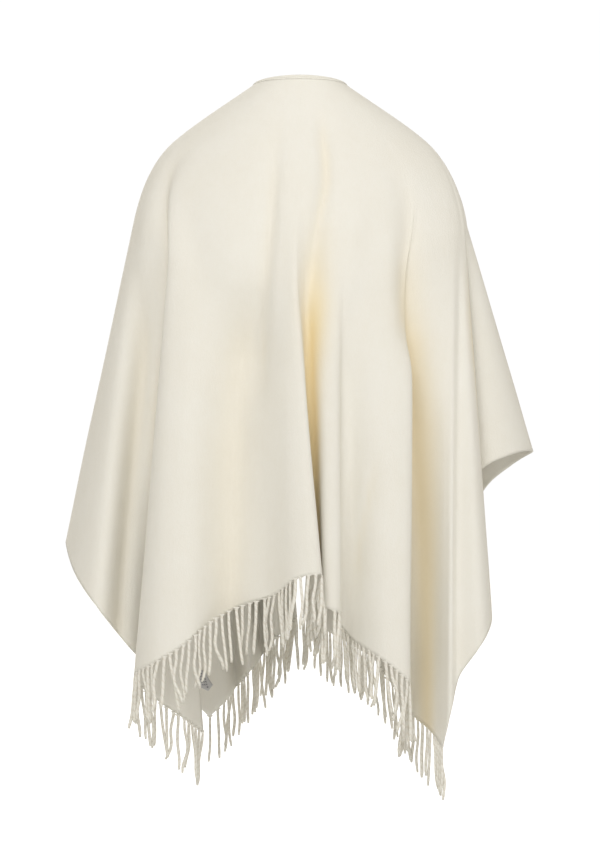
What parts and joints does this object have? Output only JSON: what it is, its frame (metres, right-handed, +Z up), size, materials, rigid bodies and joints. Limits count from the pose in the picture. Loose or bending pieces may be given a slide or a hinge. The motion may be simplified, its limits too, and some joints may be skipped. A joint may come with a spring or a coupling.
{
  "type": "fringed wool cape",
  "caption": "Off-white brushed wool cape, open at the front, with a bound round neck, pointed corners and twisted fringe along the hems.",
  "frame": {"origin": "middle of the neck opening, at the height of the neck binding over the shoulders", "axes": "+Z up, +Y towards the wearer's back, +X towards the wearer's left"},
  "size_m": [0.7366, 0.4408, 1.1041],
  "materials": {
    "wool_cloth": "soft brushed wool, off-white, matte with a short nap",
    "wool_fringe": "twisted off-white wool yarn, matte",
    "neck_binding": "smooth off-white woven binding, matte",
    "label": "small pale grey woven label with plain dark dashes"
  },
  "bodies": {
    "root": {"back_panel": "wool_cloth", "front_left_panel": "wool_cloth", "front_right_panel": "wool_cloth", "neck_binding": "neck_binding", "fringe_back": "wool_fringe", "fringe_front_left": "wool_fringe", "fringe_front_right": "wool_fringe", "label": "label"}
  },
  "joints": []
}
